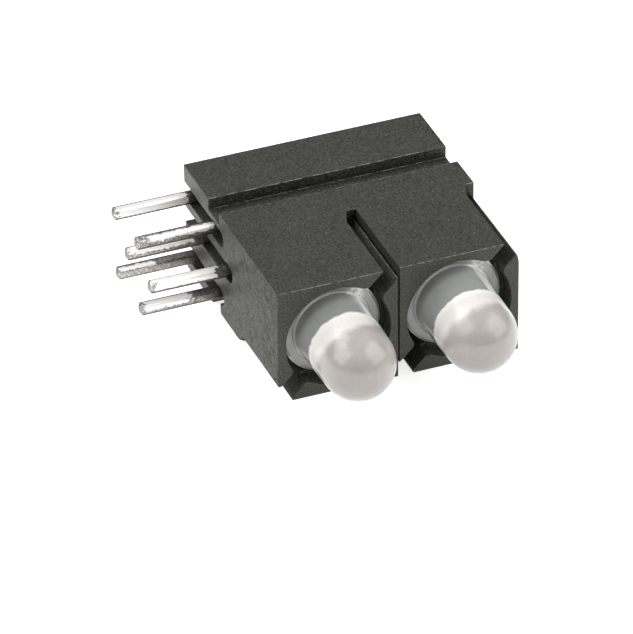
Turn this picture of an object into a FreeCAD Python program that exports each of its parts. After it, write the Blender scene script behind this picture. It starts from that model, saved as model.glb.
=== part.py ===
import FreeCAD, Part
import math
import os
from FreeCAD import Vector

# A two-high, right-angle indicator block for a circuit board, lying on its side.
# All sizes are in millimetres. In the construction frame X runs away from the board face (x = 0),
# Y runs from the front face of the cells (y = 0) to the rear, and Z runs up from the lower side face.

# Moulded holder
led_pitch = 5.08
led_count = 2
seam_width = 0.06
holder_height = 5.05
holder_depth = 10.1
cell_depth = 6.22
rear_plate_depth = 2.7
upper_groove_depth = 0.5
lower_groove_height = 0.92
foot_depth = 2.75
foot_rise = 0.17
rear_draft = 0.23
lower_edge_radius = 0.5
cell_heel_radius = 0.35

# Slots that split each cell into two spring jaws
slot_width = 0.76
slot_depth = 4.55
slot_shift = 0.08
slot_taper_length = 0.72
slot_taper_width = 0.2
jaw_tip_blunting = 0.12
jaw_tip_width = 0.24
outer_jaw_drop = 0.1
jaw_edge_radius = 0.3
jaw_corner_radius = 0.08
outer_jaw_radius = 1.15
outer_jaw_round_start = 4.0

# Milky epoxy body of one diode
flange_radius = 2.06
flange_thickness = 1.05
flange_setback = 0.7
barrel_radius = 1.57
dome_radius = 1.52
lens_height = 5.25
flange_edge_chamfer = 0.1
barrel_foot_chamfer = 0.1
flange_mouth_gap = 0.14
flange_fit_gap = 0.02

# Tinned leads
lead_thickness = 0.43
lead_pitch = 1.27
lead_reach = 3.25
lead_bend_radius = 0.3
lead_edge_chamfer = 0.05
lead_tip_chamfer = 0.09
lead_root = 0.12

# Where the leads leave the board face
first_row_y = 5.55
row_stagger = 1.25
group_pitch = 2.54
upper_row_rise = 1.41
middle_row_rise = 0.30
lower_row_drop = 1.33
row_lean = 0.165
group_splay = 0.07
channel_gap = 0.14
outer_channel_front_gap = 0.78
middle_channel_front_gap = 0.48
window_gap = 0.27

# Lead frame inside the epoxy
post_offset = 0.80
post_top = 2.70
post_width = 0.40
jog_start = 0.45
jog_end = 1.00
cup_radius = 0.48
cup_rim_radius = 0.42
cup_floor_radius = 0.34
cup_depth = 0.28
cup_height = 0.60
cup_rim_top = 2.90

# Dies and bond wires
die_side = 0.22
die_height = 0.12
die_offset = 0.15
wire_radius = 0.02
wire_stub = 0.03
wire_sides = 8

# Derived places
cut_margin = 1.0
cell_width = led_pitch - seam_width
holder_length = led_count * led_pitch - seam_width
axis_z = holder_height / 2
lens_base_y = flange_setback + flange_thickness
lens_tip_y = lens_base_y - lens_height
mouth_radius = flange_radius + flange_mouth_gap
seat_radius = flange_radius + flange_fit_gap
window_radius = lead_pitch + lead_thickness / 2 + window_gap
half_lead = lead_thickness / 2
channel_width = lead_thickness + 2 * channel_gap
upper_row_z = axis_z + upper_row_rise
middle_row_z = axis_z + middle_row_rise
lower_row_z = axis_z - lower_row_drop
outer_row_y = first_row_y + row_stagger
frame_origin = Vector((holder_length - lead_reach) / 2, (holder_depth + lens_tip_y) / 2, 0)


def axis_x(index):
    """Height of one diode's axis above the board face."""
    return cell_width / 2 + index * led_pitch


def block(x_from, x_to, y_from, y_to, z_from, z_to):
    size = Vector(x_to - x_from, y_to - y_from, z_to - z_from)
    return Part.makeBox(size.x, size.y, size.z, Vector(x_from, y_from, z_from))


def rod_along_y(x, z, radius, y_from, y_to):
    return Part.makeCylinder(radius, y_to - y_from, Vector(x, y_from, z), Vector(0, 1, 0))


def prism_along_x(outline, x_from, x_to):
    """Extrude a closed outline of (y, z) points along X."""
    points = [Vector(x_from, y, z) for y, z in outline]
    face = Part.Face(Part.makePolygon(points + points[:1]))
    return face.extrude(Vector(x_to - x_from, 0, 0))


def edges_where(shape, test):
    return [edge for edge in shape.Edges if test(edge)]


def runs_along_y(edge):
    """True for a straight edge parallel to Y."""
    first = edge.Vertexes[0].Point
    last = edge.Vertexes[-1].Point
    across = math.hypot(last.x - first.x, last.z - first.z)
    return across < 1e-6 and abs(last.y - first.y) > 1e-6


def holder_blank():
    """Side profile of the holder, with a groove across the top face and one across the lower face."""
    groove_rear = holder_depth - rear_plate_depth
    foot_front = holder_depth - foot_depth
    outline = [
        (0, 0),
        (cell_depth, 0),
        (cell_depth, lower_groove_height),
        (foot_front, lower_groove_height),
        (foot_front, foot_rise),
        (holder_depth - rear_draft, foot_rise),
        (holder_depth, holder_height),
        (groove_rear, holder_height),
        (groove_rear, holder_height - upper_groove_depth),
        (cell_depth, holder_height - upper_groove_depth),
        (cell_depth, holder_height),
        (0, holder_height),
    ]
    blank = prism_along_x(outline, 0, holder_length)

    def is_heel(edge):
        middle = edge.CenterOfMass
        level = abs(edge.Vertexes[0].Z) < 1e-6 and abs(edge.Vertexes[-1].Z) < 1e-6
        return level and abs(middle.y - cell_depth) < 1e-6

    return blank.makeFillet(cell_heel_radius, edges_where(blank, is_heel))


def edge_rounding(corner, along_first, along_second, radius, y_from, y_to):
    """What rounding an edge along Y takes away; the two directions run along its faces, into the solid."""
    bisector = along_first + along_second
    bisector.normalize()
    half_angle = bisector.getAngle(along_first)
    centre = corner + bisector * (radius / math.sin(half_angle))
    touch = radius / math.tan(half_angle)
    outside = corner - bisector * cut_margin
    around = [outside, corner + along_first * touch, centre, corner + along_second * touch]
    points = [Vector(point.x, y_from, point.z) for point in around]
    wedge = Part.Face(Part.makePolygon(points + points[:1])).extrude(Vector(0, y_to - y_from, 0))
    return wedge.cut(rod_along_y(centre.x, centre.z, radius, y_from, y_to))


def jaw_slot(x, y_from, y_to):
    """Flat slot on the diagonal of a cell, tapered on one wall towards its blind end."""
    half = slot_width / 2
    reach = holder_height
    taper_start = slot_depth - slot_taper_length
    plan = [(-half, -cut_margin), (-half, taper_start), (slot_taper_width - half, slot_depth)]
    plan += [(half, slot_depth), (half, -cut_margin)]
    points = [Vector(across, y, -reach) for across, y in plan]
    face = Part.Face(Part.makePolygon(points + points[:1]))
    slot = face.extrude(Vector(0, 0, 2 * reach))
    slot.rotate(Vector(0, 0, 0), Vector(0, 1, 0), 45)
    slot.translate(Vector(x - slot_shift / 2, 0, axis_z + slot_shift / 2))
    stretch = block(x - reach, x + reach, y_from, y_to, -reach, 2 * reach)
    return slot.common(stretch)


def slotted_hole(index, radius, y_from, y_to):
    """A stretch of a cell's stepped bore with its diagonal slot and rounded jaw edges."""
    x = axis_x(index)
    hole = rod_along_y(x, axis_z, radius, y_from, y_to)
    hole = hole.fuse(jaw_slot(x, y_from, y_to)).removeSplitter()

    def is_jaw_edge(edge):
        middle = edge.CenterOfMass
        from_axis = math.hypot(middle.x - x, middle.z - axis_z)
        return runs_along_y(edge) and abs(from_axis - radius) < 1e-4

    return hole.makeFillet(jaw_edge_radius, edges_where(hole, is_jaw_edge))


def cell_cavity(index):
    """Everything that is open inside one cell: mouth, flange seat, lead window and jaw slots."""
    x = axis_x(index)
    cavity = slotted_hole(index, mouth_radius, -cut_margin, flange_setback)
    cavity = cavity.fuse(slotted_hole(index, seat_radius, flange_setback, lens_base_y))
    cavity = cavity.fuse(rod_along_y(x, axis_z, window_radius, lens_base_y, holder_depth + cut_margin))
    cavity = cavity.fuse(jaw_slot(x, lens_base_y, slot_depth))
    left = index * led_pitch
    right = left + cell_width
    first = index == 0
    last = index == led_count - 1
    if first:
        left -= cut_margin
    if last:
        right += cut_margin
    cell = block(left, right, -cut_margin, holder_depth + cut_margin, -cut_margin, holder_height + cut_margin)
    return cavity.common(cell)


def jaw_shaping():
    """What is taken off the jaws: their tips at the two outer ends, and the sharp edges of the lower ones."""
    half = slot_width / math.sqrt(2)
    tip_end = slot_depth - slot_taper_length
    left_wall_z = axis_z + slot_shift - axis_x(0) + half
    right_wall_z = holder_length - axis_x(led_count - 1) + axis_z + slot_shift - half
    round_corner = Vector(holder_length, 0, outer_jaw_round_start + outer_jaw_radius)
    rounding = edge_rounding(round_corner, Vector(-1, 0, 0), Vector(0, 0, -1), outer_jaw_radius,
                             -cut_margin, slot_depth)
    jaw_stretch = block(0, holder_length + cut_margin, -cut_margin, slot_depth, 0, right_wall_z)
    pieces = [
        block(-cut_margin, jaw_tip_width, -cut_margin, tip_end, -cut_margin, left_wall_z + jaw_tip_blunting),
        block(holder_length - outer_jaw_drop, holder_length + cut_margin, -cut_margin, slot_depth,
              right_wall_z - outer_jaw_drop, holder_height + cut_margin),
        rounding.common(jaw_stretch),
    ]
    along_slot = Vector(math.sqrt(0.5), 0, math.sqrt(0.5))
    for index in range(led_count):
        corner = Vector(axis_x(index) - axis_z - slot_shift + half, 0, 0)
        pieces.append(edge_rounding(corner, Vector(1, 0, 0), along_slot, jaw_corner_radius,
                                    -cut_margin, slot_depth))
    return pieces


def lead_channel(row_z, front_lead_y, front_gap):
    """Channel along the board side, open to the rear, with a round front end."""
    front = front_lead_y - half_lead - front_gap
    radius = channel_width / 2
    x_end = axis_x(led_count - 1)
    straight = block(-cut_margin, x_end, front + radius, holder_depth + cut_margin,
                     row_z - radius, row_z + radius)
    start = Vector(-cut_margin, front + radius, row_z)
    rounded = Part.makeCylinder(radius, x_end + cut_margin, start, Vector(1, 0, 0))
    return straight.fuse(rounded)


def make_housing():
    housing = holder_blank()
    cuts = [cell_cavity(index) for index in range(led_count)]
    for index in range(1, led_count):
        seam_start = index * led_pitch - seam_width
        cuts.append(block(seam_start, index * led_pitch, -cut_margin, slot_depth,
                          -cut_margin, holder_height + cut_margin))
    cuts += jaw_shaping()
    cuts.append(edge_rounding(Vector(0, 0, 0), Vector(1, 0, 0), Vector(0, 0, 1), lower_edge_radius,
                              slot_depth, holder_depth + cut_margin))
    cuts.append(lead_channel(upper_row_z, outer_row_y, outer_channel_front_gap))
    cuts.append(lead_channel(middle_row_z, first_row_y, middle_channel_front_gap))
    cuts.append(lead_channel(lower_row_z, outer_row_y, outer_channel_front_gap))
    for cut in cuts:
        housing = housing.cut(cut)
    return housing.removeSplitter()


def lens_blank(index):
    """Dome, drafted barrel with a bevelled foot, and flange, turned about the diode's axis."""
    x = axis_x(index)
    dome_centre_y = lens_tip_y + dome_radius
    slant = dome_radius * math.sin(math.pi / 4)
    tip = Vector(x, lens_tip_y, axis_z)
    on_dome = Vector(x + slant, dome_centre_y - slant, axis_z)
    dome_end = Vector(x + dome_radius, dome_centre_y, axis_z)
    barrel_end = Vector(x + barrel_radius, flange_setback - barrel_foot_chamfer, axis_z)
    flange_inner = Vector(x + barrel_radius + barrel_foot_chamfer, flange_setback, axis_z)
    flange_outer = Vector(x + flange_radius - flange_edge_chamfer, flange_setback, axis_z)
    flange_side = Vector(x + flange_radius, flange_setback + flange_edge_chamfer, axis_z)
    flange_rear = Vector(x + flange_radius, lens_base_y, axis_z)
    base_centre = Vector(x, lens_base_y, axis_z)
    profile = Part.Wire([
        Part.Arc(tip, on_dome, dome_end).toShape(),
        Part.makeLine(dome_end, barrel_end),
        Part.makeLine(barrel_end, flange_inner),
        Part.makeLine(flange_inner, flange_outer),
        Part.makeLine(flange_outer, flange_side),
        Part.makeLine(flange_side, flange_rear),
        Part.makeLine(flange_rear, base_centre),
        Part.makeLine(base_centre, tip),
    ])
    return Part.Face(profile).revolve(Vector(x, 0, axis_z), Vector(0, 1, 0), 360)


def bent_lead(index, start_z, row_y, row_z):
    """Square lead from the base of the epoxy to its bend, and from there out past the board face."""
    x = axis_x(index)
    run_y = row_y - lens_base_y
    run_z = row_z - start_z
    run = math.hypot(run_y, run_z)
    bend_u = run - half_lead - lead_bend_radius
    bend_x = x - half_lead - lead_bend_radius
    outer_radius = lead_bend_radius + lead_thickness
    diagonal = math.sin(math.pi / 4)

    def at(u, across):
        return Vector(across, u, -half_lead)

    outline = Part.Wire([
        Part.makeLine(at(-lead_root, x + half_lead), at(bend_u, x + half_lead)),
        Part.Arc(at(bend_u, x + half_lead),
                 at(bend_u + outer_radius * diagonal, bend_x + outer_radius * diagonal),
                 at(run + half_lead, bend_x)).toShape(),
        Part.makeLine(at(run + half_lead, bend_x), at(run + half_lead, -lead_reach)),
        Part.makeLine(at(run + half_lead, -lead_reach), at(run - half_lead, -lead_reach)),
        Part.makeLine(at(run - half_lead, -lead_reach), at(run - half_lead, bend_x)),
        Part.Arc(at(run - half_lead, bend_x),
                 at(bend_u + lead_bend_radius * diagonal, bend_x + lead_bend_radius * diagonal),
                 at(bend_u, x - half_lead)).toShape(),
        Part.makeLine(at(bend_u, x - half_lead), at(-lead_root, x - half_lead)),
        Part.makeLine(at(-lead_root, x - half_lead), at(-lead_root, x + half_lead)),
    ])
    lead = Part.Face(outline).extrude(Vector(0, 0, lead_thickness))

    def is_tip_edge(edge):
        return abs(edge.CenterOfMass.x + lead_reach) < 1e-6

    def is_long_edge(edge):
        middle = edge.CenterOfMass
        on_side = abs(abs(middle.z) - half_lead) < 1e-6
        at_tip = middle.x < lead_tip_chamfer - lead_reach
        at_root = abs(middle.y + lead_root) < 1e-6
        return on_side and not at_tip and not at_root and not crosses_tip(edge)

    def crosses_tip(edge):
        return max(vertex.X for vertex in edge.Vertexes) < 2 * lead_tip_chamfer - lead_reach

    lead = lead.makeChamfer(lead_tip_chamfer, edges_where(lead, is_tip_edge))
    lead = lead.makeChamfer(lead_edge_chamfer, edges_where(lead, is_long_edge))
    lead.rotate(Vector(0, 0, 0), Vector(1, 0, 0), math.degrees(math.atan2(run_z, run_y)))
    lead.translate(Vector(0, lens_base_y, start_z))
    return lead


def stamped_post(index, side):
    """Outer post of the lead frame, from the base of the epoxy to its bonding top."""
    x = axis_x(index)
    half_post = post_width / 2
    top_y = lens_base_y - post_top
    jog_start_y = lens_base_y - jog_start
    jog_end_y = lens_base_y - jog_end
    near = [(lens_base_y, lead_pitch), (jog_start_y, lead_pitch), (jog_end_y, post_offset), (top_y, post_offset)]
    outline = [(y, axis_z + side * (offset - half_post)) for y, offset in near]
    outline += [(y, axis_z + side * (offset + half_post)) for y, offset in reversed(near)]
    return prism_along_x(outline, x - half_lead, x + half_lead)


def cup_post(index):
    """Middle post of the lead frame, with the reflector cup that carries both dies."""
    x = axis_x(index)
    half_post = post_width / 2
    rim_y = lens_base_y - cup_rim_top
    cup_base_y = rim_y + cup_height
    post = block(x - half_lead, x + half_lead, cup_base_y - cup_height / 4, lens_base_y,
                 axis_z - half_post, axis_z + half_post)
    cup = rod_along_y(x, axis_z, cup_radius, rim_y, cup_base_y)
    hollow = Part.makeCone(cup_rim_radius, cup_floor_radius, cup_depth, Vector(x, rim_y, axis_z), Vector(0, 1, 0))
    return post.fuse(cup).cut(hollow)


def make_lead(index, side):
    """One lead: side is 1 for the upper row, 0 for the middle row and -1 for the lower row."""
    start_z = axis_z + side * lead_pitch
    splay = group_splay if index == 0 else -group_splay
    if side == 0:
        row_y = first_row_y + index * group_pitch
        row_z = middle_row_z
        inner = cup_post(index)
    else:
        row_y = outer_row_y + index * group_pitch + side * row_lean
        row_z = (upper_row_z if side > 0 else lower_row_z) + side * splay
        inner = stamped_post(index, side)
    return bent_lead(index, start_z, row_y, row_z).fuse(inner).removeSplitter()


def cup_floor_y():
    return lens_base_y - cup_rim_top + cup_depth


def make_die(index, side):
    x = axis_x(index)
    z = axis_z + side * die_offset
    half = die_side / 2
    floor_y = cup_floor_y()
    return block(x - half, x + half, floor_y - die_height, floor_y, z - half, z + half)


def make_wire(index, side):
    """Bond wire: up from the die, over the cup's rim in a half circle, and down to the outer post."""
    x = axis_x(index)
    die_z = axis_z + side * die_offset
    post_z = axis_z + side * post_offset
    die_top_y = cup_floor_y() - die_height
    post_top_y = lens_base_y - post_top
    spring_y = min(die_top_y, post_top_y) - wire_stub
    loop_radius = abs(post_z - die_z) / 2
    crown = Vector(x, spring_y - loop_radius, (die_z + post_z) / 2)
    path = Part.Wire([
        Part.makeLine(Vector(x, die_top_y, die_z), Vector(x, spring_y, die_z)),
        Part.Arc(Vector(x, spring_y, die_z), crown, Vector(x, spring_y, post_z)).toShape(),
        Part.makeLine(Vector(x, spring_y, post_z), Vector(x, post_top_y, post_z)),
    ])
    turns = [2 * math.pi * side_index / wire_sides for side_index in range(wire_sides + 1)]
    ring = [Vector(x + wire_radius * math.cos(turn), die_top_y, die_z + wire_radius * math.sin(turn))
            for turn in turns]
    return path.makePipeShell([Part.makePolygon(ring)], True, False)


def export(shape, node):
    shape.translate(frame_origin * -1)
    solids = shape.Solids
    print(node, "solids", len(solids), "valid", shape.isValid(), "volume", round(shape.Volume, 4))
    shape = solids[0] if len(solids) == 1 else Part.Compound(solids)
    shape.exportStep("parts/" + node + ".step")


def main():
    os.makedirs("parts", exist_ok=True)
    led_names = ["lower_led", "upper_led"]
    lead_names = {1: "upper_lead", 0: "middle_lead", -1: "lower_lead"}
    side_names = {1: "upper", -1: "lower"}
    export(make_housing(), "housing")
    for index, led in enumerate(led_names):
        pieces = {led + "_" + name: make_lead(index, side) for side, name in lead_names.items()}
        for side, name in side_names.items():
            pieces[led + "_" + name + "_die"] = make_die(index, side)
            pieces[led + "_" + name + "_wire"] = make_wire(index, side)
        lens = lens_blank(index)
        for piece in pieces.values():
            lens = lens.cut(piece)
        pieces[led + "_lens"] = lens
        for node, shape in pieces.items():
            export(shape, node)


main()
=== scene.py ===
# %% [markdown]
# # A two-high LED indicator for a circuit board
#
# The object is a black moulded holder with two milky light-emitting diodes. Each diode has three
# tinned leads, bent through a right angle so that they come out of one flat face of the holder.
# Every solid comes from the construction model, so this script adds none to the object. It gives
# each surface its finish, rounds the edges that light would catch, and sets up the camera, the
# lamps and the floor.

import math

import bpy
from mathutils import Matrix, Vector


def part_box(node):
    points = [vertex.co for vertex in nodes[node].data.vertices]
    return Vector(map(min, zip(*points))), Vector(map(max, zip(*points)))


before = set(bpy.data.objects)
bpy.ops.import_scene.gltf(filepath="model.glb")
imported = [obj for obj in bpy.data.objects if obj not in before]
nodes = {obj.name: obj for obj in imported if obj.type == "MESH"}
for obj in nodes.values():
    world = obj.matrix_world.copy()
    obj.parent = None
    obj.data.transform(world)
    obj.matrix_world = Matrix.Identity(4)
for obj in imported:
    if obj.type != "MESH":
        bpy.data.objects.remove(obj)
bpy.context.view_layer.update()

# %% [markdown]
# The names of the solids say what each one is, so lists by name are enough to share the finishes
# out. The diodes differ only in how far they stand from the board, and so does all that is in them.

# %% Sort the solids by what they are made of
MM = 0.001
lenses = [name for name in nodes if name.endswith("_lens")]
leads = [name for name in nodes if name.endswith("_lead")]
dies = [name for name in nodes if name.endswith("_die")]
wires = [name for name in nodes if name.endswith("_wire")]
print("lenses", len(lenses), "leads", len(leads), "dies", len(dies), "wires", len(wires))

# %% [markdown]
# ## Camera
#
# A product photo of something this small is taken with a long lens from far away, so that parallel
# edges stay nearly parallel. The camera stands to the front left and looks down at about a third of
# a right angle. Its direction is an azimuth and an elevation, and its place follows from a point
# that it looks at and a distance. A slight roll levels the picture as the photographer had it.

# %% Directions of the view
VIEW_AZIMUTH = math.radians(-21.683)
VIEW_ELEVATION = math.radians(33.741)
VIEW_ROLL = math.radians(-0.310)


def view_axes(azimuth, elevation, roll):
    """Right, up and backward directions of a camera."""
    back = Vector((
        math.sin(azimuth) * math.cos(elevation),
        -math.cos(azimuth) * math.cos(elevation),
        math.sin(elevation),
    ))
    right = Vector((math.cos(azimuth), math.sin(azimuth), 0))
    up = back.cross(right)
    turned_right = right * math.cos(roll) + up * math.sin(roll)
    turned_up = up * math.cos(roll) - right * math.sin(roll)
    return turned_right, turned_up, back


right, up, back = view_axes(VIEW_AZIMUTH, VIEW_ELEVATION, VIEW_ROLL)
print("the camera looks along", [round(-value, 3) for value in back])

# %% Camera
VIEW_TARGET = Vector((-0.218, 0.740, 0.737)) * MM
VIEW_DISTANCE = 302.67 * MM
SENSOR = 36.0
LENS = 436.9
NEAREST = 10 * MM
FARTHEST = 2.0

camera_data = bpy.data.cameras.new("camera")
camera_data.lens = LENS
camera_data.sensor_width = SENSOR
camera_data.clip_start = NEAREST
camera_data.clip_end = FARTHEST
camera = bpy.data.objects.new("camera", camera_data)
bpy.context.collection.objects.link(camera)
turn = Matrix((right, up, back)).transposed().to_4x4()
camera.matrix_world = Matrix.Translation(VIEW_TARGET + back * VIEW_DISTANCE) @ turn
bpy.context.scene.camera = camera
print("camera stands", round(VIEW_DISTANCE / MM), "mm away, lens", LENS, "mm")

# %% [markdown]
# ## Tools for the finishes
#
# Colours are written as the sRGB hex values that a designer reads off a swatch. Light adds up in
# linear values, so one function turns them over. Materials are small graphs of nodes. One function
# adds a node with its settings and its links, and each function further down makes one feature of
# this object's own finishes. Many of these are masks, which run from 0 to 1: a black and white
# ramp, or a range of one value that is stretched over that range.

# %% Colours
def linear(hex_colour):
    """A linear RGBA colour from an sRGB hex value."""
    values = [int(hex_colour[i:i + 2], 16) / 255 for i in (1, 3, 5)]
    values = [v / 12.92 if v <= 0.04045 else ((v + 0.055) / 1.055) ** 2.4 for v in values]
    return (*values, 1.0)


BLACK = "#000000"
WHITE = "#ffffff"
print("a grey swatch, linear:", [round(v, 4) for v in linear("#34342f")])


# %% Nodes
def set_up(owner, node, settings=None, links=None):
    """Give a node its settings and links, by the names or numbers of its sockets."""
    # A mix node's data type is its first setting, because its sockets A and B depend on it
    for name, value in (settings or {}).items():
        if isinstance(name, int) or name in node.inputs:
            node.inputs[name].default_value = value
        else:
            setattr(node, name, value)
    for name, source in (links or {}).items():
        owner.node_tree.links.new(source, node.inputs[name])


def add_node(owner, kind, settings=None, links=None, stops=None):
    """Add a node to a material or the world; stops are a ramp's places and hex colours, in order."""
    node = owner.node_tree.nodes.new(kind)
    set_up(owner, node, settings, links)
    if stops:
        ramp = node.color_ramp.elements
        for element, (place, colour) in zip((ramp[0], ramp[1]), (stops[0], stops[-1])):
            element.position = place
            element.color = linear(colour)
        for place, colour in stops[1:-1]:
            ramp.new(place).color = linear(colour)
    return node


def new_material(name):
    """An empty material with its output node and its principled shader."""
    material = bpy.data.materials.new(name)
    material.use_nodes = True
    material.node_tree.nodes.clear()
    shader = add_node(material, "ShaderNodeBsdfPrincipled")
    add_node(material, "ShaderNodeOutputMaterial", links={"Surface": shader.outputs["BSDF"]})
    return material, shader


def dress(names, material):
    """Give a material to solids of the construction model."""
    for name in names:
        mesh = nodes[name].data
        mesh.materials.clear()
        mesh.materials.append(material)


print("solids to dress:", len(nodes))

# %% [markdown]
# ## Black moulded nylon
#
# The holder is injection-moulded in a flame-retardant nylon. The mould was spark-eroded, so the
# skin is a fine, even grain that kills the gloss: a plain surface would look like lacquer. Spark
# erosion leaves a grain of about 0.05 mm, hardly more than a pixel here, so it is drawn a little
# coarser. Its pits trap light, so the grain tints the surface as well as bending its normals. A
# slower noise gives the faint clouds of a part that has been handled.

# %% Grain and clouds
GRAIN = 0.075 * MM
CLOUDS = 1.6 * MM
CLOUD_TINT = 0.04
PITS = (0.38, "#1b1c17")
CRESTS = (0.62, "#484942")

nylon, nylon_shader = new_material("black_moulded_nylon")
nylon_place = add_node(nylon, "ShaderNodeTexCoord").outputs["Object"]
grain = add_node(nylon, "ShaderNodeTexNoise",
                 {"Scale": 1 / GRAIN, "Detail": 2.0, "Roughness": 0.7}, {"Vector": nylon_place})
clouds = add_node(nylon, "ShaderNodeTexNoise",
                  {"Scale": 1 / CLOUDS, "Detail": 2.0}, {"Vector": nylon_place})
cloudy = add_node(nylon, "ShaderNodeMapRange", {"To Min": -CLOUD_TINT, "To Max": CLOUD_TINT},
                  {"Value": clouds.outputs["Fac"]})
shade = add_node(nylon, "ShaderNodeMath", {"operation": "ADD"},
                 {0: grain.outputs["Fac"], 1: cloudy.outputs["Result"]})
tint = add_node(nylon, "ShaderNodeValToRGB", links={"Fac": shade.outputs["Value"]},
                stops=(PITS, CRESTS))
print("grain", GRAIN / MM, "mm, clouds", CLOUDS / MM, "mm")

# %% [markdown]
# ### Rounded edges with a painted highlight
#
# No edge of a moulding is sharp. The bevel node gives the normals of a rounded corner and leaves
# the mesh alone. Where those normals leave the flat ones there is an edge. In places it is painted
# pale and given more shine: partly wear from handling, partly a painted highlight where a rounded
# edge would catch the light. Only the edges along X, straight out from the board, get it, so the
# ones whose normals turn towards the board or away from it are left out.

# %% Worn edges with a painted highlight
EDGE_ROUNDING = 0.08 * MM
RUB = 0.30 * MM
# The rounded normal times the flat one: where an edge has its full painted highlight, and where there is
# no edge
BENT, FLAT = 0.80, 0.97
FULL_EDGE_HIGHLIGHT = 1.3
# How far the rounded normal turns to X, on edges that run along X and on edges that don't
ALONG_X, ACROSS_X = 0.15, 0.40
PATCH_FROM, PATCH_TO = 0.40, 0.58
BETWEEN_PATCHES = 0.15

rounded = add_node(nylon, "ShaderNodeBevel", {"samples": 8, "Radius": EDGE_ROUNDING}).outputs["Normal"]
flat = add_node(nylon, "ShaderNodeNewGeometry").outputs["Normal"]
bend = add_node(nylon, "ShaderNodeVectorMath", {"operation": "DOT_PRODUCT"}, {0: rounded, 1: flat})
edge_highlight = add_node(nylon, "ShaderNodeMapRange",
                  {"From Min": BENT, "From Max": FLAT, "To Min": FULL_EDGE_HIGHLIGHT, "To Max": 0.0},
                  {"Value": bend.outputs["Value"]})
turned = add_node(nylon, "ShaderNodeSeparateXYZ", links={"Vector": rounded})
sideways = add_node(nylon, "ShaderNodeMath", {"operation": "ABSOLUTE"}, {0: turned.outputs["X"]})
along_x = add_node(nylon, "ShaderNodeMapRange",
                   {"From Min": ALONG_X, "From Max": ACROSS_X, "To Min": 1.0, "To Max": 0.0},
                   {"Value": sideways.outputs["Value"]})
patchy = add_node(nylon, "ShaderNodeTexNoise", {"Scale": 1 / RUB, "Detail": 2.0},
                  {"Vector": nylon_place})
in_places = add_node(nylon, "ShaderNodeMapRange",
                     {"From Min": PATCH_FROM, "From Max": PATCH_TO,
                      "To Min": BETWEEN_PATCHES, "To Max": 1.0},
                     {"Value": patchy.outputs["Fac"]})
edge_highlight_along_x = add_node(nylon, "ShaderNodeMath", {"operation": "MULTIPLY"},
                          {0: edge_highlight.outputs["Result"], 1: along_x.outputs["Result"]})
worn_edge_highlight = add_node(nylon, "ShaderNodeMath", {"operation": "MULTIPLY"},
                 {0: edge_highlight_along_x.outputs["Value"], 1: in_places.outputs["Result"]})
print("edge rounding", EDGE_ROUNDING / MM, "mm, rub marks", RUB / MM, "mm")

# %% [markdown]
# A few pale specks are dust and flash. They come from the highest peaks of one more noise, and the
# painted highlight on the worn edges shares their pale colour.

# %% Specks and pale places
SPECK = 0.10 * MM
SPECK_FROM, SPECK_TO = 0.74, 0.84
DUST_AND_HIGHLIGHT = "#93938c"

specks = add_node(nylon, "ShaderNodeTexNoise", {"Scale": 1 / SPECK, "Detail": 1.0},
                  {"Vector": nylon_place})
salt = add_node(nylon, "ShaderNodeMapRange", {"From Min": SPECK_FROM, "From Max": SPECK_TO},
                {"Value": specks.outputs["Fac"]})
# Specks are dust; the edge mask adds a painted highlight in the same pale colour
pale = add_node(nylon, "ShaderNodeMath", {"operation": "MAXIMUM", "use_clamp": True},
                {0: salt.outputs["Result"], 1: worn_edge_highlight.outputs["Value"]})
dusted_and_highlit = add_node(nylon, "ShaderNodeMix", {"data_type": "RGBA", "B": linear(DUST_AND_HIGHLIGHT)},
                  {"Factor": pale.outputs["Value"], "A": tint.outputs["Color"]})
print("specks", SPECK / MM, "mm")

# %% [markdown]
# ### The board side
#
# The side that faces the board came from the other mould half. Its grain is coarser and sparkles,
# it is scuffed, and it is shinier towards the rear. So its specular level isn't even: it follows a
# rough noise, with the scuffs and a slow rise to the rear added. On all other sides the level is an
# even 0.35, below the usual 0.5, because the pits hold light back.

# %% Board side
COARSE_GRAIN = 0.085 * MM
SCUFF = 0.18
AT_FRONT, AT_REAR = -0.09, 0.13
# X of the flat normal on the board side, and off it
TO_BOARD, TO_SIDE = -0.95, -0.80
PLAIN_GLOSS = 0.35
SPARKLE_FROM, SPARKLE_TO = 0.34, 0.72
DULLEST, SHINIEST = 0.02, 0.50
HOLDER_FRONT, HOLDER_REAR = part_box("housing")[0][1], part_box("housing")[1][1]

facing = add_node(nylon, "ShaderNodeSeparateXYZ", links={"Vector": flat})
board_side = add_node(nylon, "ShaderNodeMapRange",
                      {"From Min": TO_BOARD, "From Max": TO_SIDE, "To Min": 1.0, "To Max": 0.0},
                      {"Value": facing.outputs["X"]})
coarse = add_node(nylon, "ShaderNodeTexNoise",
                  {"Scale": 1 / COARSE_GRAIN, "Detail": 4.0, "Roughness": 0.75},
                  {"Vector": nylon_place})
scuffs = add_node(nylon, "ShaderNodeMapRange", {"To Min": -SCUFF, "To Max": SCUFF},
                  {"Value": patchy.outputs["Fac"]})
scuffed = add_node(nylon, "ShaderNodeMath", {"operation": "ADD"},
                   {0: coarse.outputs["Fac"], 1: scuffs.outputs["Result"]})
along_holder = add_node(nylon, "ShaderNodeSeparateXYZ", links={"Vector": nylon_place})
to_rear = add_node(nylon, "ShaderNodeMapRange",
                   {"From Min": HOLDER_FRONT, "From Max": HOLDER_REAR,
                    "To Min": AT_FRONT, "To Max": AT_REAR},
                   {"Value": along_holder.outputs["Y"]})
worn = add_node(nylon, "ShaderNodeMath", {"operation": "ADD"},
                {0: scuffed.outputs["Value"], 1: to_rear.outputs["Result"]})
sparkle = add_node(nylon, "ShaderNodeMapRange",
                   {"From Min": SPARKLE_FROM, "From Max": SPARKLE_TO,
                    "To Min": DULLEST, "To Max": SHINIEST},
                   {"Value": worn.outputs["Value"]})
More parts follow.
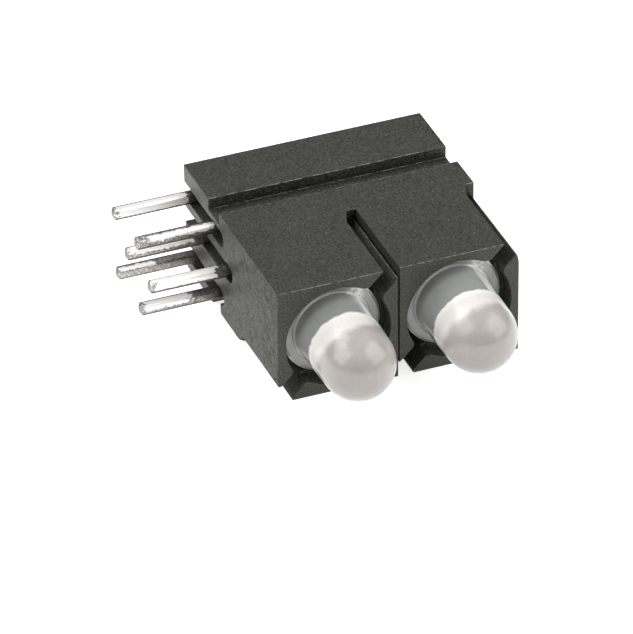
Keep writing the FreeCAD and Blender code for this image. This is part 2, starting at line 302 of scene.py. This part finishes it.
gloss_level = add_node(nylon, "ShaderNodeMix", {"data_type": "FLOAT", "A": PLAIN_GLOSS},
                       {"Factor": board_side.outputs["Result"], "B": sparkle.outputs["Result"]})
polished = add_node(nylon, "ShaderNodeMath", {"operation": "MAXIMUM"},
                    {0: gloss_level.outputs["Result"], 1: worn_edge_highlight.outputs["Value"]})
print("board side: grain", COARSE_GRAIN / MM, "mm")

# %% [markdown]
# ### Painted shade in slots and windows
#
# Slots and windows are given painted shade, the darkest skin. An ambient occlusion node finds them:
# it counts how much of the surroundings is hidden within a short distance. What it finds darkens
# both the colour and the shine, as painted shade.

# %% Painted shade in recesses, and the nylon put together
RECESS = 0.6 * MM
# Shares of the surroundings that are free, deep in a recess and outside
SHUT, OPEN = 0.35, 0.90
DARKEST_PAINTED_SHADE = 0.30
GRAIN_DEPTH = 0.012 * MM
PIT, CREST = 0.3, 0.7
PIT_ROUGHNESS, CREST_ROUGHNESS = 0.34, 0.60
NYLON_IOR = 1.53

recess = add_node(nylon, "ShaderNodeAmbientOcclusion",
                  {"samples": 6, "only_local": True, "Distance": RECESS})
painted_shade_factor = add_node(nylon, "ShaderNodeMapRange",
                       {"From Min": SHUT, "From Max": OPEN, "To Min": DARKEST_PAINTED_SHADE, "To Max": 1.0},
                       {"Value": recess.outputs["AO"]})
# Painted shade: recesses get a darker colour and less shine
tint_with_painted_shade = add_node(nylon, "ShaderNodeMix",
                       {"data_type": "RGBA", "blend_type": "MULTIPLY", "Factor": 1.0},
                       {"A": dusted_and_highlit.outputs["Result"], "B": painted_shade_factor.outputs["Result"]})
shine = add_node(nylon, "ShaderNodeMath", {"operation": "MULTIPLY"},
                 {0: polished.outputs["Value"], 1: painted_shade_factor.outputs["Result"]})
grainy = add_node(nylon, "ShaderNodeMapRange",
                  {"From Min": PIT, "From Max": CREST,
                   "To Min": PIT_ROUGHNESS, "To Max": CREST_ROUGHNESS},
                  {"Value": grain.outputs["Fac"]})
bump = add_node(nylon, "ShaderNodeBump", {"Strength": 1.0, "Distance": GRAIN_DEPTH},
                {"Height": grain.outputs["Fac"], "Normal": rounded})
set_up(nylon, nylon_shader, {"IOR": NYLON_IOR},
       {"Base Color": tint_with_painted_shade.outputs["Result"], "Specular IOR Level": shine.outputs["Value"],
        "Roughness": grainy.outputs["Result"], "Normal": bump.outputs["Normal"]})
dress(["housing"], nylon)
print("the holder is dressed in nylon, roughness", PIT_ROUGHNESS, "to", CREST_ROUGHNESS)

# %% [markdown]
# ## Cast epoxy with a settled filler
#
# A diffused diode is cast tip down from clear epoxy with a white powder in it. The powder sinks
# while the resin cures, so the tip turns milky and a clear layer is left by the flange. The two meet
# along a sharp level line round the barrel, a little wavy and a little different in each diode. One
# material does all this: a mask along the diode's axis turns subsurface scattering into
# transmission. In the clear layer one sees the dark holder through the resin, which makes it grey
# like wet glass.

# %% Where the resin is clear
LEVEL_BLUR = 0.05 * MM
LEVEL_WAVE = 0.14 * MM
WAVE_LENGTH = 0.5 * MM
# Millimetres from the tip: where the milky part ends, how far the painted shade is full grey and where
# the painted highlight is all white
MILKY_DEPTHS = {"lower_led_lens": (2.75, 2.05, 2.55), "upper_led_lens": (2.40, 1.60, 2.15)}


def settling_level(lens):
    """Place along Y where a diode's milky part ends."""
    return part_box(lens)[0][1] + MILKY_DEPTHS[lens][0] * MM


def along_diode(material, place):
    """Y of each point, moved a little to and fro so that level lines wander."""
    parts = add_node(material, "ShaderNodeSeparateXYZ", links={"Vector": place})
    wander = add_node(material, "ShaderNodeTexNoise", {"Scale": 1 / WAVE_LENGTH, "Detail": 2.0},
                      {"Vector": place})
    shift = add_node(material, "ShaderNodeMapRange", {"To Min": -LEVEL_WAVE, "To Max": LEVEL_WAVE},
                     {"Value": wander.outputs["Fac"]})
    along = add_node(material, "ShaderNodeMath", {"operation": "ADD"},
                     {0: parts.outputs["Y"], 1: shift.outputs["Result"]})
    return parts, along.outputs["Value"]


def across_level(material, level, along, milky_value, clear_value):
    """A value for the milky part and one for the clear part, with a short blend between."""
    change = add_node(material, "ShaderNodeMapRange",
                      {"From Min": level - LEVEL_BLUR, "From Max": level + LEVEL_BLUR,
                       "To Min": milky_value, "To Max": clear_value},
                      {"Value": along})
    return change.outputs["Result"]


for lens in lenses:
    print(lens, "is milky up to y =", round(settling_level(lens) / MM, 2), "mm")

# %% [markdown]
# Right in front of the settling line the milk is painted brightest: a painted highlight for the light
# that reaches the powder there from both sides. That painted white zone is widest on the side that
# faces up and to the board, where most light comes in. Nearer to the tip the milk is painted a warm
# grey, as painted shade. The two meet at a distance from the tip, to which a share of X and Z is
# added to tilt the border.

# %% Painted highlight and shade on the powder
HIGHLIGHT_TILT = 0.22
HIGHLIGHT_LIFT = 0.40
TIP_SHADE_GREY = "#b6b0ac"
PALE_MILK, WHITE_MILK_HIGHLIGHT = "#ece7e3", "#fffdfb"
RESIN, FLANGE_RESIN = "#b4b7b5", "#e2e3e0"
# Places of the pale milk, as a share of the way to the settling line, and of the flange's colour,
# as a share of the way from tip to foot, and half the width of the change at the settling line
PALE_FROM = 0.82
FLANGE_FROM = 0.80
SHARP = 0.01


def milk_light_and_shade(material, lens, parts, along):
    """Painted shade at the tip, a painted white highlight before the settling line and the grey of wet
    glass behind it.
    """
    low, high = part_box(lens)
    tip, foot = low[1], high[1]
    _, shade_to, highlight_from = MILKY_DEPTHS[lens]
    where = (settling_level(lens) - tip) / (foot - tip)
    spot = add_node(material, "ShaderNodeMapRange", {"From Min": tip, "From Max": foot},
                    {"Value": along})
    # The white just before the settling line is a painted highlight
    tint = add_node(material, "ShaderNodeValToRGB", links={"Fac": spot.outputs["Result"]},
                    stops=((PALE_FROM * where, PALE_MILK), (where - SHARP, WHITE_MILK_HIGHLIGHT),
                           (where + SHARP, RESIN), (FLANGE_FROM, FLANGE_RESIN)))
    tilted = add_node(material, "ShaderNodeMath", {"operation": "MULTIPLY_ADD", 1: -HIGHLIGHT_TILT},
                      {0: parts.outputs["X"], 2: along})
    lifted = add_node(material, "ShaderNodeMath", {"operation": "MULTIPLY_ADD", 1: HIGHLIGHT_LIFT},
                      {0: parts.outputs["Z"], 2: tilted.outputs["Value"]})
    on_axis = tip - HIGHLIGHT_TILT * (high[0] + low[0]) / 2 + HIGHLIGHT_LIFT * (high[2] + low[2]) / 2
    # Painted shade: the milk turns grey towards the tip
    tip_shade = add_node(material, "ShaderNodeMapRange",
                    {"interpolation_type": "SMOOTHSTEP",
                     "From Min": on_axis + shade_to * MM, "From Max": on_axis + highlight_from * MM,
                     "To Min": 1.0, "To Max": 0.0},
                    {"Value": lifted.outputs["Value"]})
    with_tip_shade = add_node(material, "ShaderNodeMix", {"data_type": "RGBA", "B": linear(TIP_SHADE_GREY)},
                      {"Factor": tip_shade.outputs["Result"], "A": tint.outputs["Color"]})
    return with_tip_shade.outputs["Result"]


print("the tip is", TIP_SHADE_GREY, "and the white zone", WHITE_MILK_HIGHLIGHT)

# %% [markdown]
# The powder lies unevenly, in grains and in drifts. Real grains are too fine to see, so they are
# drawn at 0.07 mm. They also leave the skin very slightly uneven.

# %% Uneven powder
POWDER = 0.07 * MM
DRIFT = 0.30 * MM
DRIFT_SHARE = 0.35
THIN_POWDER = (0.36, "#f7f7f7")
THICK_POWDER = (0.58, WHITE)


def uneven_powder(material, place, colour):
    """A colour with the powder's grains and drifts in it, and the grains by themselves."""
    powder = add_node(material, "ShaderNodeTexNoise", {"Scale": 1 / POWDER, "Detail": 1.0},
                      {"Vector": place})
    drifts = add_node(material, "ShaderNodeTexNoise", {"Scale": 1 / DRIFT, "Detail": 2.0},
                      {"Vector": place})
    mixed = add_node(material, "ShaderNodeMix", {"data_type": "FLOAT", "Factor": DRIFT_SHARE},
                     {"A": powder.outputs["Fac"], "B": drifts.outputs["Fac"]})
    uneven = add_node(material, "ShaderNodeValToRGB", links={"Fac": mixed.outputs["Result"]},
                      stops=(THIN_POWDER, THICK_POWDER))
    speckled = add_node(material, "ShaderNodeMix",
                        {"data_type": "RGBA", "blend_type": "MULTIPLY", "Factor": 1.0},
                        {"A": colour, "B": uneven.outputs["Color"]})
    return speckled.outputs["Result"], powder.outputs["Fac"]


print("powder", POWDER / MM, "mm, drifts", DRIFT / MM, "mm")

# %% [markdown]
# Clear resin leads light along and lets it out at its edges. That is painted as highlights: the rim
# of the flange's front face shows as a thin bright line, and the side of the barrel away from the
# board has bright streaks along the axis. Both are masks that turn the clear resin white.

# %% Bright rims and streaks
FLANGE_THICKNESS = 1.05 * MM
RIM = 0.12 * MM
STREAK = 0.22 * MM
STREAK_STRETCH = 0.06
STREAK_FROM, STREAK_TO = 0.42, 0.60
RIM_LINE = ((0.15, BLACK), (0.40, WHITE), (0.65, WHITE), (0.90, BLACK))
STREAKED_SIDE = ((0.34, BLACK), (0.44, WHITE), (0.58, WHITE), (0.68, BLACK))


def rim_highlight(material, lens, parts):
    """Mask of the painted highlight, a thin bright line round the front of the flange."""
    flange_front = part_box(lens)[1][1] - FLANGE_THICKNESS
    to_front = add_node(material, "ShaderNodeMath", {"operation": "SUBTRACT", 1: flange_front},
                        {0: parts.outputs["Y"]})
    off_front = add_node(material, "ShaderNodeMath", {"operation": "ABSOLUTE"},
                         {0: to_front.outputs["Value"]})
    near = add_node(material, "ShaderNodeMapRange", {"From Min": 0.0, "From Max": RIM},
                    {"Value": off_front.outputs["Value"]})
    rim = add_node(material, "ShaderNodeValToRGB", links={"Fac": near.outputs["Result"]},
                   stops=RIM_LINE)
    return rim.outputs["Color"]


def streak_highlights(material, lens, place, parts):
    """Mask of the painted highlight streaks along the side of the barrel that is away from the board."""
    low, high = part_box(lens)
    sideways = add_node(material, "ShaderNodeMapRange",
                        {"From Min": (high[0] + low[0]) / 2, "From Max": high[0]},
                        {"Value": parts.outputs["X"]})
    side = add_node(material, "ShaderNodeValToRGB", links={"Fac": sideways.outputs["Result"]},
                    stops=STREAKED_SIDE)
    stretched = add_node(material, "ShaderNodeMapping", {"Scale": (1.0, STREAK_STRETCH, 1.0)},
                         {"Vector": place})
    streaks = add_node(material, "ShaderNodeTexNoise", {"Scale": 1 / STREAK, "Detail": 2.0},
                       {"Vector": stretched.outputs["Vector"]})
    lines = add_node(material, "ShaderNodeMapRange",
                     {"From Min": STREAK_FROM, "From Max": STREAK_TO},
                     {"Value": streaks.outputs["Fac"]})
    on_side = add_node(material, "ShaderNodeMath", {"operation": "MULTIPLY"},
                       {0: lines.outputs["Result"], 1: side.outputs["Color"]})
    return on_side.outputs["Value"]


print("bright rim", RIM / MM, "mm, streaks", STREAK / MM, "mm wide")

# %% [markdown]
# ### Both diodes
#
# The shader takes it all in. Light goes a third of a millimetre into the milk before it comes
# back. The milky skin is a little duller than the clear one, as cast. Clear resin throws hardly any
# shadow, so for shadow rays alone it is mostly open.

# %% Cast both diodes
SCATTER = 0.35 * MM
SCATTER_TINT = (1.0, 0.95, 0.9)
SKIN_DEPTH = 0.004 * MM
CLEARNESS = 0.32
MILK_SCATTER, RESIN_SCATTER = 0.7, 0.15
MILK_ROUGHNESS, RESIN_ROUGHNESS = 0.22, 0.12
RESIN_SHADOW = 0.35
EPOXY_IOR = 1.54
EPOXY_GLOSS = 0.6


def cast_epoxy(lens):
    """Epoxy for one diode: milky from the tip to its settling line, clear from there to the flange."""
    material, shader = new_material("cast_epoxy_" + lens.removesuffix("_lens"))
    level = settling_level(lens)
    place = add_node(material, "ShaderNodeTexCoord").outputs["Object"]
    parts, along = along_diode(material, place)
    clear = across_level(material, level, along, 0.0, 1.0)
    speckled, powder = uneven_powder(material, place, milk_light_and_shade(material, lens, parts, along))
    lit = add_node(material, "ShaderNodeMath", {"operation": "MAXIMUM"},
                   {0: streak_highlights(material, lens, place, parts), 1: rim_highlight(material, lens, parts)})
    in_clear = add_node(material, "ShaderNodeMath", {"operation": "MULTIPLY"},
                        {0: lit.outputs["Value"], 1: clear}).outputs["Value"]
    # Rims and streaks in the clear resin are painted highlights
    highlighted = add_node(material, "ShaderNodeMix", {"data_type": "RGBA", "B": linear(WHITE)},
                        {"Factor": in_clear, "A": speckled})
    not_lit = add_node(material, "ShaderNodeMath", {"operation": "SUBTRACT", "use_clamp": True},
                       {0: clear, 1: in_clear})
    see_through = add_node(material, "ShaderNodeMapRange", {"To Max": CLEARNESS},
                           {"Value": not_lit.outputs["Value"]})
    scatter = add_node(material, "ShaderNodeMapRange",
                       {"To Min": MILK_SCATTER, "To Max": RESIN_SCATTER}, {"Value": clear})
    skin = add_node(material, "ShaderNodeBump", {"Strength": 0.4, "Distance": SKIN_DEPTH},
                    {"Height": powder})
    ray = add_node(material, "ShaderNodeLightPath")
    through = add_node(material, "ShaderNodeMath", {"operation": "MULTIPLY"},
                       {0: ray.outputs["Is Shadow Ray"], 1: clear})
    shadow = add_node(material, "ShaderNodeMapRange", {"To Min": 1.0, "To Max": RESIN_SHADOW},
                      {"Value": through.outputs["Value"]})
    set_up(material, shader,
           {"Subsurface Radius": SCATTER_TINT, "Subsurface Scale": SCATTER, "IOR": EPOXY_IOR,
            "Specular IOR Level": EPOXY_GLOSS},
           {"Base Color": highlighted.outputs["Result"],
            "Transmission Weight": see_through.outputs["Result"],
            "Subsurface Weight": scatter.outputs["Result"],
            "Roughness": across_level(material, level, along, MILK_ROUGHNESS, RESIN_ROUGHNESS),
            "Normal": skin.outputs["Normal"], "Alpha": shadow.outputs["Result"]})
    dress([lens], material)


for lens in lenses:
    cast_epoxy(lens)
print("cast", len(lenses), "diodes, light goes", SCATTER / MM, "mm deep")

# %% [markdown]
# ## Tinned leads
#
# The lead frame is stamped from steel and dipped in solder. A bright band on each lead is a painted
# highlight. Around it the tin is dull and mottled, and so are the tip and a stretch by the holder.
# Tin is a bare metal, so the leads are fully metallic and keep the default IOR, and only their
# brightness and roughness change. Each lead has its own numbers. A distance over the lead's section
# places the band: 0 is the upper rear edge, a half the upper front edge and 1 the lower front edge.

# %% Where the tin has a painted highlight
HALF_LEAD = 0.215 * MM
RAGGED = 0.22 * MM
BAND_BLUR = 0.02
BAND_JAG = 0.22
# The painted highlight band's two edges, and the dull stretches at tip and holder in millimetres
BANDS = {
    "lower_led_upper_lead": (0.250, 0.700, 0.45, 0.05),
    "lower_led_middle_lead": (0.025, 0.900, 0.10, 0.50),
    "lower_led_lower_lead": (0.050, 0.750, 0.14, 1.20),
    "upper_led_upper_lead": (0.025, 0.950, 0.12, 0.18),
    "upper_led_middle_lead": (0.150, 0.725, 0.15, 0.50),
    "upper_led_lower_lead": (0.200, 0.550, 0.12, 1.70),
}


def over_section(material, lead, parts):
    """Distance over a lead's section, from its Y and Z added up."""
    low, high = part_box(lead)
    middle_y = high[1] - HALF_LEAD
    middle_z = low[2] + HALF_LEAD if lead.endswith("lower_lead") else high[2] - HALF_LEAD
    across = add_node(material, "ShaderNodeMath", {"operation": "ADD"},
                      {0: parts.outputs["Y"], 1: parts.outputs["Z"]})
    distance = add_node(material, "ShaderNodeMapRange",
                        {"From Min": middle_y + middle_z - 2 * HALF_LEAD,
                         "From Max": middle_y + middle_z + 2 * HALF_LEAD,
                         "To Min": 1.0, "To Max": 0.0},
                        {"Value": across.outputs["Value"]})
    return distance.outputs["Result"]


def painted_highlight_band(material, lead, distance, ragged):
    """Mask of the painted highlight band, with ragged edges."""
    band_from, band_to, _, _ = BANDS[lead]
    jag = add_node(material, "ShaderNodeMapRange", {"To Min": -BAND_JAG, "To Max": BAND_JAG},
                   {"Value": ragged})
    jagged = add_node(material, "ShaderNodeMath", {"operation": "ADD"},
                      {0: distance, 1: jag.outputs["Result"]})
    band = add_node(material, "ShaderNodeValToRGB", links={"Fac": jagged.outputs["Value"]},
                    stops=((band_from - BAND_BLUR, BLACK), (band_from + BAND_BLUR, WHITE),
                           (band_to - BAND_BLUR, WHITE), (band_to + BAND_BLUR, BLACK)))
    return band.outputs["Color"]


print("the tin is ragged by", RAGGED / MM, "mm")

# %% [markdown]
# The two ends of each lead are dull. Their borders slide to and fro by up to half a millimetre, so
# that no border runs straight round the lead.

# %% Dull ends
BOARD_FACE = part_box("housing")[0][0]
# In millimetres, as the dull stretches are
END_BLUR = 0.06
END_SLIDE = 0.5 * MM


def slid_along(material, parts, ragged):
    """X of each point, moved to and fro."""
    slide = add_node(material, "ShaderNodeMapRange", {"To Min": -END_SLIDE, "To Max": END_SLIDE},
                     {"Value": ragged})
    lengthwise = add_node(material, "ShaderNodeMath", {"operation": "ADD"},
                          {0: parts.outputs["X"], 1: slide.outputs["Result"]})
    return lengthwise.outputs["Value"]


def between_ends(material, lead, lengthwise):
    """Mask of the stretch between the dull tip and the dull root."""
    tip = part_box(lead)[0][0]
    _, _, dull_tip, dull_root = BANDS[lead]
    past_tip = add_node(material, "ShaderNodeMapRange",
                        {"From Min": tip + dull_tip * MM, "From Max": tip + (dull_tip + END_BLUR) * MM},
                        {"Value": lengthwise})
    before_root = add_node(material, "ShaderNodeMapRange",
                           {"From Min": BOARD_FACE - dull_root * MM,
                            "From Max": BOARD_FACE - (dull_root - END_BLUR) * MM,
                            "To Min": 1.0, "To Max": 0.0},
                           {"Value": lengthwise})
    ends = add_node(material, "ShaderNodeMath", {"operation": "MULTIPLY"},
                    {0: past_tip.outputs["Result"], 1: before_root.outputs["Result"]})
    return ends.outputs["Value"]


print("board face at x =", round(BOARD_FACE / MM, 3), "mm")

# %% [markdown]
# Dull metal is mottled light and dark, and darker towards the holder. Along two opposite edges, the
# upper rear and the lower front one, painted shade outlines the lead in the colour of bare steel, and
# the cut end is bare steel.

# %% Dull metal, painted edge shade and bare steel
# The dull metal gets darker towards the holder
DARKER_FROM, DARKER_TO = 2.4 * MM, 0.4 * MM
ROOT_DARKENING = -0.12
DARK_MOTTLE = (0.40, "#72706d")
PALE_MOTTLE = (0.62, "#cac7c3")
# Shares of the way over the section
EDGE_WIDTH = 0.10
EDGE_BLUR = 0.03
EDGE_WAVER = 0.05
# X of the flat normal on the cut end, and off it, and how bare that end is
TO_TIP, TO_SIDES = -0.95, -0.60
CUT_END = 0.70


def dull_metal(material, mottle, lengthwise):
    """Colour of the dull tin."""
    toward_holder = add_node(material, "ShaderNodeMapRange",
                    {"From Min": BOARD_FACE - DARKER_FROM, "From Max": BOARD_FACE - DARKER_TO,
                     "To Min": 0.0, "To Max": ROOT_DARKENING},
                    {"Value": lengthwise})
    darkened = add_node(material, "ShaderNodeMath", {"operation": "ADD"},
                        {0: mottle, 1: toward_holder.outputs["Result"]})
    dull = add_node(material, "ShaderNodeValToRGB", links={"Fac": darkened.outputs["Value"]},
                    stops=(DARK_MOTTLE, PALE_MOTTLE))
    return dull.outputs["Color"]


def steel_and_edge_shade(material, mottle, distance):
    """Mask of the painted shade along two edges and of the bare cut end."""
    waver = add_node(material, "ShaderNodeMapRange", {"To Min": -EDGE_WAVER, "To Max": EDGE_WAVER},
                     {"Value": mottle})
    wavering = add_node(material, "ShaderNodeMath", {"operation": "ADD"},
                        {0: distance, 1: waver.outputs["Result"]})
    blurred = EDGE_WIDTH + EDGE_BLUR
    # Painted shade along the upper rear and lower front edges
    edge_shade = add_node(material, "ShaderNodeValToRGB", links={"Fac": wavering.outputs["Value"]},
                          stops=((EDGE_WIDTH, WHITE), (blurred, BLACK),
                                 (1 - blurred, BLACK), (1 - EDGE_WIDTH, WHITE)))
    shape = add_node(material, "ShaderNodeNewGeometry")
    facing = add_node(material, "ShaderNodeSeparateXYZ", links={"Vector": shape.outputs["True Normal"]})
    cut_end = add_node(material, "ShaderNodeMapRange",
                       {"From Min": TO_TIP, "From Max": TO_SIDES, "To Min": CUT_END, "To Max": 0.0},
                       {"Value": facing.outputs["X"]})
    steel_and_shade = add_node(material, "ShaderNodeMath", {"operation": "MAXIMUM"},
                    {0: edge_shade.outputs["Color"], 1: cut_end.outputs["Result"]})
    return steel_and_shade.outputs["Value"]


print("oxidised from", DARKER_FROM / MM, "mm before the holder")

# %% [markdown]
# ### All six leads
#
# The painted highlight band is smooth tin that gives a soft, broad reflection. Surface tension draws the
# solder round over the edges, so the bevel node rounds them by much more than the steel is.

# %% Tin the leads
MOTTLE = 0.07 * MM
SOLDER_ROUNDING = 0.18 * MM
MOTTLE_DEPTH = 0.02 * MM
HIGHLIGHT_TIN = "#fffefb"
STEEL_AND_EDGE_SHADE = "#5a5651"
DULL_ROUGHNESS, BRIGHT_ROUGHNESS = 0.36, 0.50


def tinned_lead(lead):
    """Tin for one lead: a painted highlight band, dull mottled metal around it, painted shade in the
    colour of bare steel along two edges, and bare steel at the cut end.
    """
    material, shader = new_material("hot_tinned_steel_" + lead)
    place = add_node(material, "ShaderNodeTexCoord").outputs["Object"]
    parts = add_node(material, "ShaderNodeSeparateXYZ", links={"Vector": place})
    mottle = add_node(material, "ShaderNodeTexNoise",
                      {"Scale": 1 / MOTTLE, "Detail": 3.0, "Roughness": 0.65},
                      {"Vector": place}).outputs["Fac"]
    ragged = add_node(material, "ShaderNodeTexNoise",
                      {"Scale": 1 / RAGGED, "Detail": 3.0, "Roughness": 0.7},
                      {"Vector": place}).outputs["Fac"]
    distance = over_section(material, lead, parts)
    lengthwise = slid_along(material, parts, ragged)
    # The band is a painted highlight
    tin_highlight = add_node(material, "ShaderNodeMath", {"operation": "MULTIPLY"},
                      {0: painted_highlight_band(material, lead, distance, ragged),
                       1: between_ends(material, lead, lengthwise)}).outputs["Value"]
    metal = add_node(material, "ShaderNodeMix", {"data_type": "RGBA", "B": linear(HIGHLIGHT_TIN)},
                     {"Factor": tin_highlight, "A": dull_metal(material, mottle, lengthwise)})
    # Two edges get painted shade in the colour of bare steel; the cut end is bare steel
    edged = add_node(material, "ShaderNodeMix", {"data_type": "RGBA", "B": linear(STEEL_AND_EDGE_SHADE)},
                     {"Factor": steel_and_edge_shade(material, mottle, distance), "A": metal.outputs["Result"]})
    rough = add_node(material, "ShaderNodeMapRange",
                     {"To Min": DULL_ROUGHNESS, "To Max": BRIGHT_ROUGHNESS}, {"Value": tin_highlight})
    rounded = add_node(material, "ShaderNodeBevel", {"samples": 8, "Radius": SOLDER_ROUNDING})
    bump = add_node(material, "ShaderNodeBump", {"Strength": 0.25, "Distance": MOTTLE_DEPTH},
                    {"Height": mottle, "Normal": rounded.outputs["Normal"]})
    set_up(material, shader, {"Metallic": 1.0},
           {"Base Color": edged.outputs["Result"], "Roughness": rough.outputs["Result"],
            "Normal": bump.outputs["Normal"]})
    dress([lead], material)


for lead in leads:
    tinned_lead(lead)
print("mottling", MOTTLE / MM, "mm on", len(leads), "leads")

# %% [markdown]
# ## Dies and bond wires
#
# They sit deep in the milky epoxy and don't show, but each keeps the finish of the real thing: a
# sawn semiconductor, grey-brown with small facets, and drawn gold with fine die marks.

# %% Semiconductor dies
FACET = 0.05 * MM

crystal, crystal_shader = new_material("semiconductor_die")
crystal_place = add_node(crystal, "ShaderNodeTexCoord").outputs["Object"]
facets = add_node(crystal, "ShaderNodeTexNoise", {"Scale": 1 / FACET}, {"Vector": crystal_place})
crystal_tint = add_node(crystal, "ShaderNodeValToRGB", links={"Fac": facets.outputs["Fac"]},
                        stops=((0.0, "#5c5236"), (1.0, "#8f8460")))
set_up(crystal, crystal_shader, {"Roughness": 0.25}, {"Base Color": crystal_tint.outputs["Color"]})
dress(dies, crystal)
print("facets", FACET / MM, "mm on", len(dies), "dies")

# %% Gold bond wires
DIE_MARK = 0.02 * MM

gold, gold_shader = new_material("drawn_gold_wire")
gold_place = add_node(gold, "ShaderNodeTexCoord").outputs["Object"]
die_marks = add_node(gold, "ShaderNodeTexNoise", {"Scale": 1 / DIE_MARK}, {"Vector": gold_place})
gold_rough = add_node(gold, "ShaderNodeMapRange", {"To Min": 0.15, "To Max": 0.3},
                      {"Value": die_marks.outputs["Fac"]})
set_up(gold, gold_shader, {"Base Color": linear("#f0c860"), "Metallic": 1.0},
       {"Roughness": gold_rough.outputs["Result"]})
dress(wires, gold)
print("die marks", DIE_MARK / MM, "mm on", len(wires), "wires")

# %% [markdown]
# ## Floor
#
# The part lies on a plain white table that runs out of the picture. The lamps light it a little
# below pure white. The camera should see it pure white, and so should anything that mirrors it, so
# for those rays alone the paper adds a faint glow of its own. It lights nothing, and the soft
# shadow that shows the part isn't floating stays in place.

# %% White paper
FIBRE = 0.5 * MM
CAMERA_GLOW = 0.75
MIRROR_GLOW = 1.0

paper, paper_shader = new_material("white_paper_table")
paper_place = add_node(paper, "ShaderNodeTexCoord").outputs["Object"]
fibre = add_node(paper, "ShaderNodeTexNoise", {"Scale": 1 / FIBRE}, {"Vector": paper_place})
paper_tint = add_node(paper, "ShaderNodeValToRGB", links={"Fac": fibre.outputs["Fac"]},
                      stops=((0.0, "#f4f4f3"), (1.0, "#f8f8f7")))
seen = add_node(paper, "ShaderNodeLightPath")
mirrored = add_node(paper, "ShaderNodeMath", {"operation": "ADD"},
                    {0: seen.outputs["Is Glossy Ray"], 1: seen.outputs["Is Transmission Ray"]})
in_mirrors = add_node(paper, "ShaderNodeMapRange", {"To Max": MIRROR_GLOW},
                      {"Value": mirrored.outputs["Value"]})
in_camera = add_node(paper, "ShaderNodeMapRange", {"To Max": CAMERA_GLOW},
                     {"Value": seen.outputs["Is Camera Ray"]})
glow = add_node(paper, "ShaderNodeMath", {"operation": "ADD"},
                {0: in_mirrors.outputs["Result"], 1: in_camera.outputs["Result"]})
set_up(paper, paper_shader, {"Emission Color": linear(WHITE), "Roughness": 0.9},
       {"Base Color": paper_tint.outputs["Color"], "Emission Strength": glow.outputs["Value"]})
print("paper glows for the camera by", CAMERA_GLOW)

# %% Table top
FLOOR_SIZE = 1.2

bpy.ops.mesh.primitive_plane_add(size=FLOOR_SIZE, location=(0, 0, 0))
floor = bpy.context.object
floor.name = "table_top"
floor.data.materials.append(paper)
print("floor", FLOOR_SIZE, "m across")

# %% [markdown]
# ## Light
#
# A strong lamp stands behind the part, to the left and high up. It lights the milky tips but not
# what hides behind the holder's front edge. Two large soft boxes, left and right of the camera, show
# on each dome as two pale patches side by side. Where the patches lie gives the directions of the
# boxes, because a mirror at that place on the dome would send the camera's view to the box.

# %% Lamps
LAMP_DISTANCE = 0.30
# Direction, size in metres and power in watts of each lamp
LAMPS = {
    "rear_lamp": ((-0.42, 0.52, 0.74), 0.16, 0.26),
    "left_soft_box": ((-0.75, -0.02, 0.65), 0.26, 0.54),
    "right_soft_box": ((0.66, -0.44, 0.60), 0.30, 0.70),
}

for name, (direction, size, power) in LAMPS.items():
    light = bpy.data.lights.new(name, "AREA")
    light.shape = "SQUARE"
    light.size = size
    light.energy = power
    lamp = bpy.data.objects.new(name, light)
    bpy.context.collection.objects.link(lamp)
    lamp.location = Vector(direction).normalized() * LAMP_DISTANCE
    lamp.rotation_euler = Vector(direction).to_track_quat("Z", "Y").to_euler()
print(len(LAMPS), "lamps,", LAMP_DISTANCE, "m away")

# %% [markdown]
# The room is different for each kind of ray. On dull surfaces it is an even, dim light that fills
# the shadows. Metal and gloss see it bright overhead and dark towards the horizon, which draws
# dark and bright bands on the leads and the domes. The camera sees plain white.

# %% Room
ROOM_LIGHT = 0.15
ROOM_WHITE = 1.0
ROOM_DARK = 0.15
HORIZON_TOP, CEILING_EDGE = math.radians(25), math.radians(46)

world = bpy.data.worlds.new("pale_room")
world.use_nodes = True
way = add_node(world, "ShaderNodeTexCoord")
upward = add_node(world, "ShaderNodeSeparateXYZ", links={"Vector": way.outputs["Generated"]})
room = add_node(world, "ShaderNodeMapRange",
                {"From Min": math.sin(HORIZON_TOP), "From Max": math.sin(CEILING_EDGE),
                 "To Min": ROOM_DARK, "To Max": ROOM_WHITE},
                {"Value": upward.outputs["Z"]})
ray = add_node(world, "ShaderNodeLightPath")
even = add_node(world, "ShaderNodeMix", {"data_type": "FLOAT", "B": ROOM_LIGHT},
                {"Factor": ray.outputs["Is Diffuse Ray"], "A": room.outputs["Result"]})
seen_white = add_node(world, "ShaderNodeMix", {"data_type": "FLOAT", "B": ROOM_WHITE},
                      {"Factor": ray.outputs["Is Camera Ray"], "A": even.outputs["Result"]})
set_up(world, world.node_tree.nodes["Background"], {"Color": linear(WHITE)},
       {"Strength": seen_white.outputs["Result"]})
bpy.context.scene.world = world
bpy.context.scene.view_settings.view_transform = "Standard"
print("room light", ROOM_LIGHT, "and a white ceiling for mirrors")
